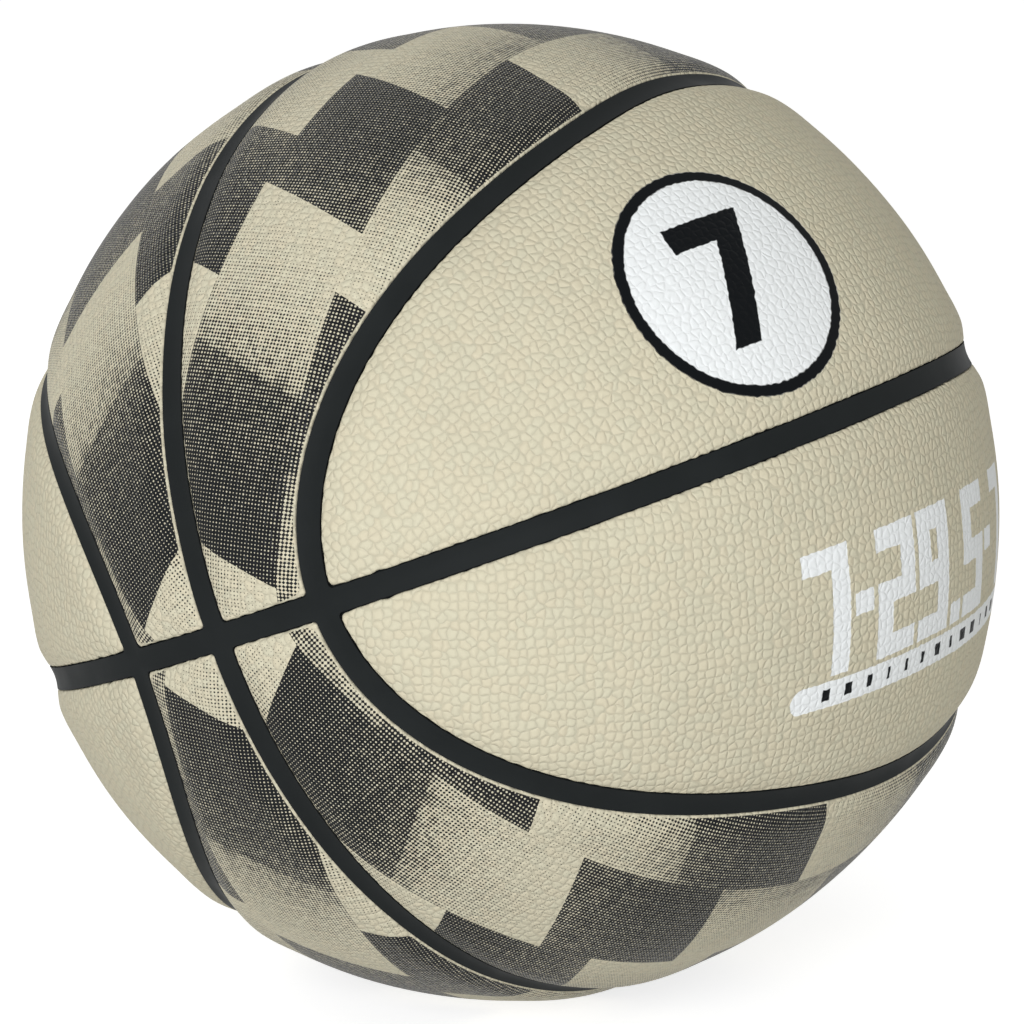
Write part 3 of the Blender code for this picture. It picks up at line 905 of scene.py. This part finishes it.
def plain_cover(name, marks=None):
    """Sand-coloured pebbled leather, with the painted marks of its panel."""
    material, tree, shader = new_material(name)
    place = add(tree, "ShaderNodeTexCoord").outputs["Object"]
    chart = add(tree, "ShaderNodeUVMap", uv_map="cover").outputs[0]
    height, crease, shade = pebbles(tree, chart)
    bare = tinted(tree, SAND, shade, crease, place)
    if marks is None:
        tree.links.new(bare, shader.inputs["Base Color"])
        finish_cover(tree, shader, chart, round_valve(tree, height), 0.0, PLAIN_GLOSS)
        return material
    white, black, line = marks(tree, unsteadiness(tree, chart))
    # painted shade: the white paint is made a little darker in the creases, where shade would fall
    painted_shade_in_paint_creases = maths(tree, "MULTIPLY", crease, 0.04)
    paint = mixed(tree, painted_shade_in_paint_creases, WHITE_PAINT, tuple(0.3 * part for part in WHITE_PAINT))
    colour = mixed(tree, white, bare, paint)
    tree.links.new(mixed(tree, black, colour, BLACK_PAINT), shader.inputs["Base Color"])
    height = maths(tree, "MULTIPLY", height, maths(tree, "MULTIPLY_ADD", white, -PAINT_FILLING, 1))
    if line is not None:
        flattened = maths(tree, "MULTIPLY", height, maths(tree, "SUBTRACT", 1, line))
        height = maths(tree, "MULTIPLY_ADD", line, -LINE_DEPTH / PEBBLE_HEIGHT, flattened)
    painted = maths(tree, "MAXIMUM", white, black)
    finish_cover(tree, shader, chart, height, painted, PLAIN_GLOSS)
    return material


bare_finish = plain_cover("plain_cover")
roundel_finish = plain_cover("plain_cover_roundel", roundel_marks)
label_finish = plain_cover("plain_cover_label", label_marks)
plain_net = covered("plain")
for side, level in SIDES:
    panel = cut_panel("plain", side, level, plain_net)
    seen = plain_net[0] * np.array((side, 1, level))
    if (side, level) == (1, -1):
        panel.data.materials.append(roundel_finish)
        add_chart(panel, "roundel", roundel_chart(seen))
    elif (side, level) == (1, 1):
        panel.data.materials.append(label_finish)
        add_chart(panel, "label", label_chart(seen))
    else:
        panel.data.materials.append(bare_finish)
    if (side, level) == (-1, -1):
        bored(panel, valve_way)
bpy.data.objects.remove(valve_way)


# The printed panels: the same sand-coloured leather under a black print of fine dots. The
# print stands in a patchwork of leaning blocks, each fading its own way, and stops at the rim.
DOT_PITCH = 0.89
BLOCK_LENGTH = 42.0
BLOCK_WIDTH = 33.0
BLOCK_LEAN = 0.35
BARE_RIM = 0.42
PRINT_GLOSS = 0.12
MOST_INK = 0.88


def row_noise(tree, count, seed):
    """One random number for each row of dots."""
    shifted = maths(tree, "ADD", maths(tree, "ROUND", count), seed)
    return add(
        tree, "ShaderNodeTexWhiteNoise", noise_dimensions="1D", links={"W": shifted}
    ).outputs["Value"]


def blocks(tree, along, across):
    """How much ink each block of the patchwork takes, from none to all."""
    row = maths(tree, "MULTIPLY_ADD", across, 1 / BLOCK_WIDTH, 0.5)
    row_number = maths(tree, "FLOOR", row)
    shift = maths(tree, "MULTIPLY", row_number, 0.37)
    leaning = maths(tree, "MULTIPLY_ADD", across, BLOCK_LEAN, along)
    column = maths(tree, "MULTIPLY_ADD", leaning, 1 / BLOCK_LENGTH, shift)
    column_number = maths(tree, "FLOOR", column)
    corner = add(
        tree, "ShaderNodeCombineXYZ", links={"X": row_number, "Y": column_number}
    ).outputs[0]
    random = add(
        tree, "ShaderNodeTexWhiteNoise", noise_dimensions="2D", links={"Vector": corner}
    ).outputs["Color"]
    parts = add(tree, "ShaderNodeSeparateColor", links={"Color": random}).outputs
    in_row = maths(tree, "FRACT", row)
    in_column = maths(tree, "FRACT", column)
    sideways = maths(tree, "GREATER_THAN", parts[0], 0.6)
    flipped = maths(tree, "GREATER_THAN", parts[1], 0.5)
    run = mixed(tree, sideways, in_column, in_row)
    back = maths(tree, "SUBTRACT", 1, run)
    fade = mixed(tree, flipped, run, back)
    both = maths(tree, "ADD", row_number, column_number)
    odd = maths(tree, "ABSOLUTE", maths(tree, "MODULO", both, 2))
    strong = maths(tree, "MULTIPLY_ADD", fade, -0.22, 0.95)
    weak = maths(tree, "MULTIPLY", maths(tree, "POWER", fade, 1.2), 0.55)
    return mixed(tree, odd, weak, strong)


def halftone(tree, chart, place):
    """Where the black print of the printed panels lies."""
    along, across, _ = add(tree, "ShaderNodeSeparateXYZ", links={"Vector": chart}).outputs
    rim = add(tree, "ShaderNodeUVMap", uv_map="rim").outputs[0]
    from_rim = add(tree, "ShaderNodeSeparateXYZ", links={"Vector": rim}).outputs[0]
    cloud = add(
        tree, "ShaderNodeTexNoise", links={"Vector": place}, values={"Scale": 45, "Detail": 2}
    ).outputs[0]
    block = blocks(tree, along, across)
    cover = maths(tree, "MULTIPLY_ADD", maths(tree, "SUBTRACT", cloud, 0.5), 0.16, block)
    column = maths(tree, "DIVIDE", along, DOT_PITCH)
    line = maths(tree, "DIVIDE", across, DOT_PITCH)
    waves = [
        maths(tree, "COSINE", maths(tree, "MULTIPLY", count, 2 * math.pi))
        for count in (column, line)
    ]
    spot = maths(tree, "MULTIPLY_ADD", maths(tree, "ADD", *waves), 0.25, 0.5)
    uneven = maths(tree, "ADD", row_noise(tree, column, 3.7), row_noise(tree, line, 91.3))
    dot = add(
        tree,
        "ShaderNodeCombineXYZ",
        links={"X": maths(tree, "ROUND", column), "Y": maths(tree, "ROUND", line)},
    ).outputs[0]
    each = add(
        tree, "ShaderNodeTexWhiteNoise", noise_dimensions="2D", links={"Vector": dot}
    ).outputs["Value"]
    patch = add(
        tree,
        "ShaderNodeTexNoise",
        noise_dimensions="2D",
        links={"Vector": chart},
        values={"Scale": 0.6, "Detail": 1},
    ).outputs[0]
    level = maths(tree, "MULTIPLY_ADD", maths(tree, "SUBTRACT", uneven, 1), 0.07, cover)
    level = maths(tree, "MULTIPLY_ADD", maths(tree, "SUBTRACT", each, 0.5), 0.20, level)
    level = maths(tree, "MULTIPLY_ADD", maths(tree, "SUBTRACT", patch, 0.5), 0.24, level)
    capped = maths(tree, "MINIMUM", level, MOST_INK)
    ink = ramp(tree, maths(tree, "SUBTRACT", capped, spot), -0.08, 0.08)
    edge = PANEL_EDGE * 1000 + BARE_RIM
    room = ramp(tree, from_rim, edge - 0.1, edge + 0.1)
    return maths(tree, "MULTIPLY", ink, room)


def printed_cover():
    """Sand-coloured pebbled leather under its black print."""
    material, tree, shader = new_material("printed_cover")
    place = add(tree, "ShaderNodeTexCoord").outputs["Object"]
    chart = add(tree, "ShaderNodeUVMap", uv_map="cover").outputs[0]
    height, crease, shade = pebbles(tree, chart)
    bare = tinted(tree, SAND, shade, crease, place)
    ink = halftone(tree, chart, place)
    tree.links.new(mixed(tree, ink, bare, BLACK_PAINT), shader.inputs["Base Color"])
    finish_cover(tree, shader, chart, height, ink, PRINT_GLOSS)
    return material


printed_finish = printed_cover()
printed_net = covered("printed")
for side, level in SIDES:
    panel = cut_panel("printed", side, level, printed_net)
    panel.data.materials.append(printed_finish)


# The valve: a black rubber housing whose neck ends just under the skin, with a flange inside
# the bladder, and the soft plug in it that the needle goes through.
VALVE_BELOW_SKIN = 0.0004
FLANGE_RADIUS = 0.0110
FLANGE_TOP = -0.0069
FLANGE_EDGE = -0.0074
FLANGE_UNDER = -0.0090
VALVE_TAIL = -0.0150
PLUG_HEAD_RADIUS = 0.0034
PLUG_HEAD_THICKNESS = 0.0014
PLUG_STEM_RADIUS = 0.0022
NEEDLE_HOLE_RADIUS = 0.0008
RIM_ROUNDING = 0.0003


def valve_housing():
    """The neck with its flange, bored for the plug's head and stem."""
    top = -VALVE_BELOW_SKIN
    head_bore = PLUG_HEAD_RADIUS + VALVE_FIT
    stem_bore = PLUG_STEM_RADIUS + VALVE_FIT
    seat = top - PLUG_HEAD_THICKNESS - VALVE_FIT
    profile = (
        (stem_bore, VALVE_TAIL),
        (VALVE_NECK_RADIUS, VALVE_TAIL),
        (VALVE_NECK_RADIUS, FLANGE_UNDER),
        (FLANGE_RADIUS, FLANGE_UNDER),
        (FLANGE_RADIUS, FLANGE_EDGE),
        (VALVE_NECK_RADIUS, FLANGE_TOP),
        (VALVE_NECK_RADIUS, top - RIM_ROUNDING),
        (VALVE_NECK_RADIUS - RIM_ROUNDING, top),
        (head_bore + RIM_ROUNDING, top),
        (head_bore, top - RIM_ROUNDING),
        (head_bore, seat),
        (stem_bore, seat),
    )
    return turned("valve_neck", profile, VALVE_MIDDLE, VALVE_AXIS)


def valve_plug():
    """The soft plug, with the hole for the needle down its middle."""
    top = -VALVE_BELOW_SKIN
    head_under = top - PLUG_HEAD_THICKNESS
    profile = (
        (NEEDLE_HOLE_RADIUS, VALVE_TAIL),
        (PLUG_STEM_RADIUS, VALVE_TAIL),
        (PLUG_STEM_RADIUS, head_under),
        (PLUG_HEAD_RADIUS, head_under),
        (PLUG_HEAD_RADIUS, top - RIM_ROUNDING),
        (PLUG_HEAD_RADIUS - RIM_ROUNDING, top),
        (NEEDLE_HOLE_RADIUS + 2 * RIM_ROUNDING, top),
        (NEEDLE_HOLE_RADIUS, top - 2 * RIM_ROUNDING),
    )
    return turned("needle_plug", profile, VALVE_MIDDLE, VALVE_AXIS)


valve_neck = valve_housing()
valve_neck.data.materials.append(rubber_material("valve_rubber", (0.010, 0.011, 0.012), 0.42))
needle_plug = valve_plug()
needle_plug.data.materials.append(rubber_material("plug_rubber", (0.022, 0.023, 0.024), 0.5))
for piece, node, finish in (
    (valve_neck, "valve_housing", "valve_rubber"),
    (needle_plug, "valve_plug", "plug_rubber"),
):
    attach(piece, "root")
    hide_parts(node)


# A plain pale floor in a white room, one large soft light in front, a little to the left,
# and a weak one behind at the upper left. To the camera the floor and the room are white;
# the floor keeps the ball's shadow.
ROOM_LIGHT = 0.43
ROOM_COLOUR = (1.0, 0.995, 0.955)
FLOOR_GLOW = 0.19
FLOOR_SEEN = 0.75
LAMP_DISTANCE = 1.9
LAMP_COLOUR = (0.985, 1.0, 1.03)


def shown(tree):
    """One for what the camera sees, straight or in a shiny piece."""
    path = add(tree, "ShaderNodeLightPath").outputs
    mirrored = maths(tree, "MAXIMUM", path["Is Glossy Ray"], path["Is Transmission Ray"])
    return maths(tree, "MAXIMUM", path["Is Camera Ray"], mirrored)


stage_floor = make_mesh(
    "stage_floor", np.array(((-4, -4, 0), (4, -4, 0), (4, 4, 0), (-4, 4, 0)), float), [(0, 1, 2, 3)]
)
floor_finish, floor_tree, floor_shader = new_material("pale_floor")
floor_shader.inputs["Base Color"].default_value = (0.6, 0.6, 0.6, 1)
floor_shader.inputs["Roughness"].default_value = 0.9
floor_shader.inputs["Specular IOR Level"].default_value = 0.0
floor_shader.inputs["Emission Color"].default_value = (1, 1, 1, 1)
seen = shown(floor_tree)
glow = maths(floor_tree, "MULTIPLY_ADD", seen, FLOOR_SEEN - FLOOR_GLOW, FLOOR_GLOW)
floor_tree.links.new(glow, floor_shader.inputs["Emission Strength"])
stage_floor.data.materials.append(floor_finish)

world = bpy.data.worlds.new("room")
world.use_nodes = True
room_tree = world.node_tree
seen = shown(room_tree)
strength = maths(room_tree, "MULTIPLY_ADD", seen, 1.0 - ROOM_LIGHT, ROOM_LIGHT)
room_colour = mixed(room_tree, seen, ROOM_COLOUR, (1, 1, 1))
room_tree.links.new(room_colour, room_tree.nodes["Background"].inputs["Color"])
room_tree.links.new(strength, room_tree.nodes["Background"].inputs["Strength"])
bpy.context.scene.world = world


def soft_lamp(name, direction, size, energy):
    """A round soft light facing the ball from a direction."""
    data = bpy.data.lights.new(name, "AREA")
    data.shape = "DISK"
    data.size = size
    data.energy = energy
    data.color = LAMP_COLOUR
    item = bpy.data.objects.new(name, data)
    way = Vector(direction).normalized()
    item.location = way * LAMP_DISTANCE + Vector((0, 0, REST_HEIGHT))
    item.rotation_euler = way.to_track_quat("Z", "Y").to_euler()
    bpy.context.scene.collection.objects.link(item)


soft_lamp("key", (-0.17, -0.92, 0.27), 1.1, 26.4)
soft_lamp("rim", (-0.62, 0.45, 0.64), 0.9, 3.5)

CAMERA_DISTANCE = 8.426 * BALL_RADIUS
CAMERA_ELEVATION = math.radians(12)
CAMERA_LENS = 143.75
middle = Vector((0, 0, REST_HEIGHT))
back = Vector((0, -math.cos(CAMERA_ELEVATION), math.sin(CAMERA_ELEVATION)))
camera_data = bpy.data.cameras.new("camera")
camera_data.sensor_width = 36
camera_data.lens = CAMERA_LENS
camera_data.shift_x = 0.0014
camera_data.shift_y = 0.0001
camera = bpy.data.objects.new("camera", camera_data)
camera.location = middle + back * CAMERA_DISTANCE
camera.rotation_euler = back.to_track_quat("Z", "Y").to_euler()
bpy.context.scene.collection.objects.link(camera)
bpy.context.scene.camera = camera

bpy.context.scene.view_settings.view_transform = "Standard"
